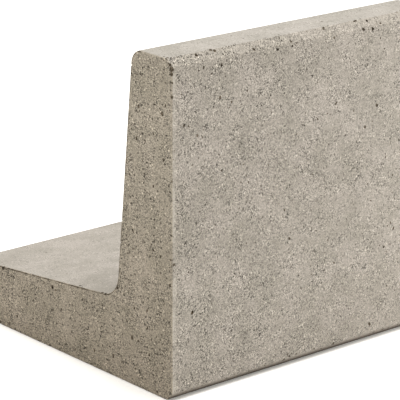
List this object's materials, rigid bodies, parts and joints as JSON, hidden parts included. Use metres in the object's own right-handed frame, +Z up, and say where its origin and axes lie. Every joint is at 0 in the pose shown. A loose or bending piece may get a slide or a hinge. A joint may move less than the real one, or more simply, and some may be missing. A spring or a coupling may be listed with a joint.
{
  "type": "l-shaped concrete retaining unit",
  "caption": "Free-standing L-shaped precast retaining unit in pressed grey concrete: a plain vertical upright with a foot behind it, cast round a tied cage of ribbed bars.",
  "frame": {"origin": "middle of the rectangular footprint, on the bed", "axes": "+X along the unit's length, -Y out of the plain front face, +Z up"},
  "size_m": [0.4, 0.4, 0.4],
  "materials": {
    "pressed_concrete": "matt pressed concrete with open pores and sand grains, smoother on the crest and on top of the foot",
    "ribbed_bar_steel": "hot-rolled mill scale with light rust",
    "annealed_tie_wire": "black annealed wire"
  },
  "bodies": {
    "root": {"concrete_body": "pressed_concrete", "upright_main_bar_1": "ribbed_bar_steel", "upright_main_bar_2": "ribbed_bar_steel", "upright_main_bar_3": "ribbed_bar_steel", "upright_main_bar_4": "ribbed_bar_steel", "upright_cross_bar_1": "ribbed_bar_steel", "upright_cross_bar_2": "ribbed_bar_steel", "upright_cross_bar_3": "ribbed_bar_steel", "upright_corner_bar": "ribbed_bar_steel", "upright_anchor_bar": "ribbed_bar_steel", "upright_leg_ties": "annealed_tie_wire", "upright_corner_ties": "annealed_tie_wire", "foot_main_bar_1": "ribbed_bar_steel", "foot_main_bar_2": "ribbed_bar_steel", "foot_main_bar_3": "ribbed_bar_steel", "foot_main_bar_4": "ribbed_bar_steel", "foot_cross_bar_1": "ribbed_bar_steel", "foot_cross_bar_2": "ribbed_bar_steel", "foot_cross_bar_3": "ribbed_bar_steel", "foot_corner_bar": "ribbed_bar_steel", "foot_anchor_bar": "ribbed_bar_steel", "foot_leg_ties": "annealed_tie_wire", "foot_corner_ties": "annealed_tie_wire"}
  },
  "joints": []
}
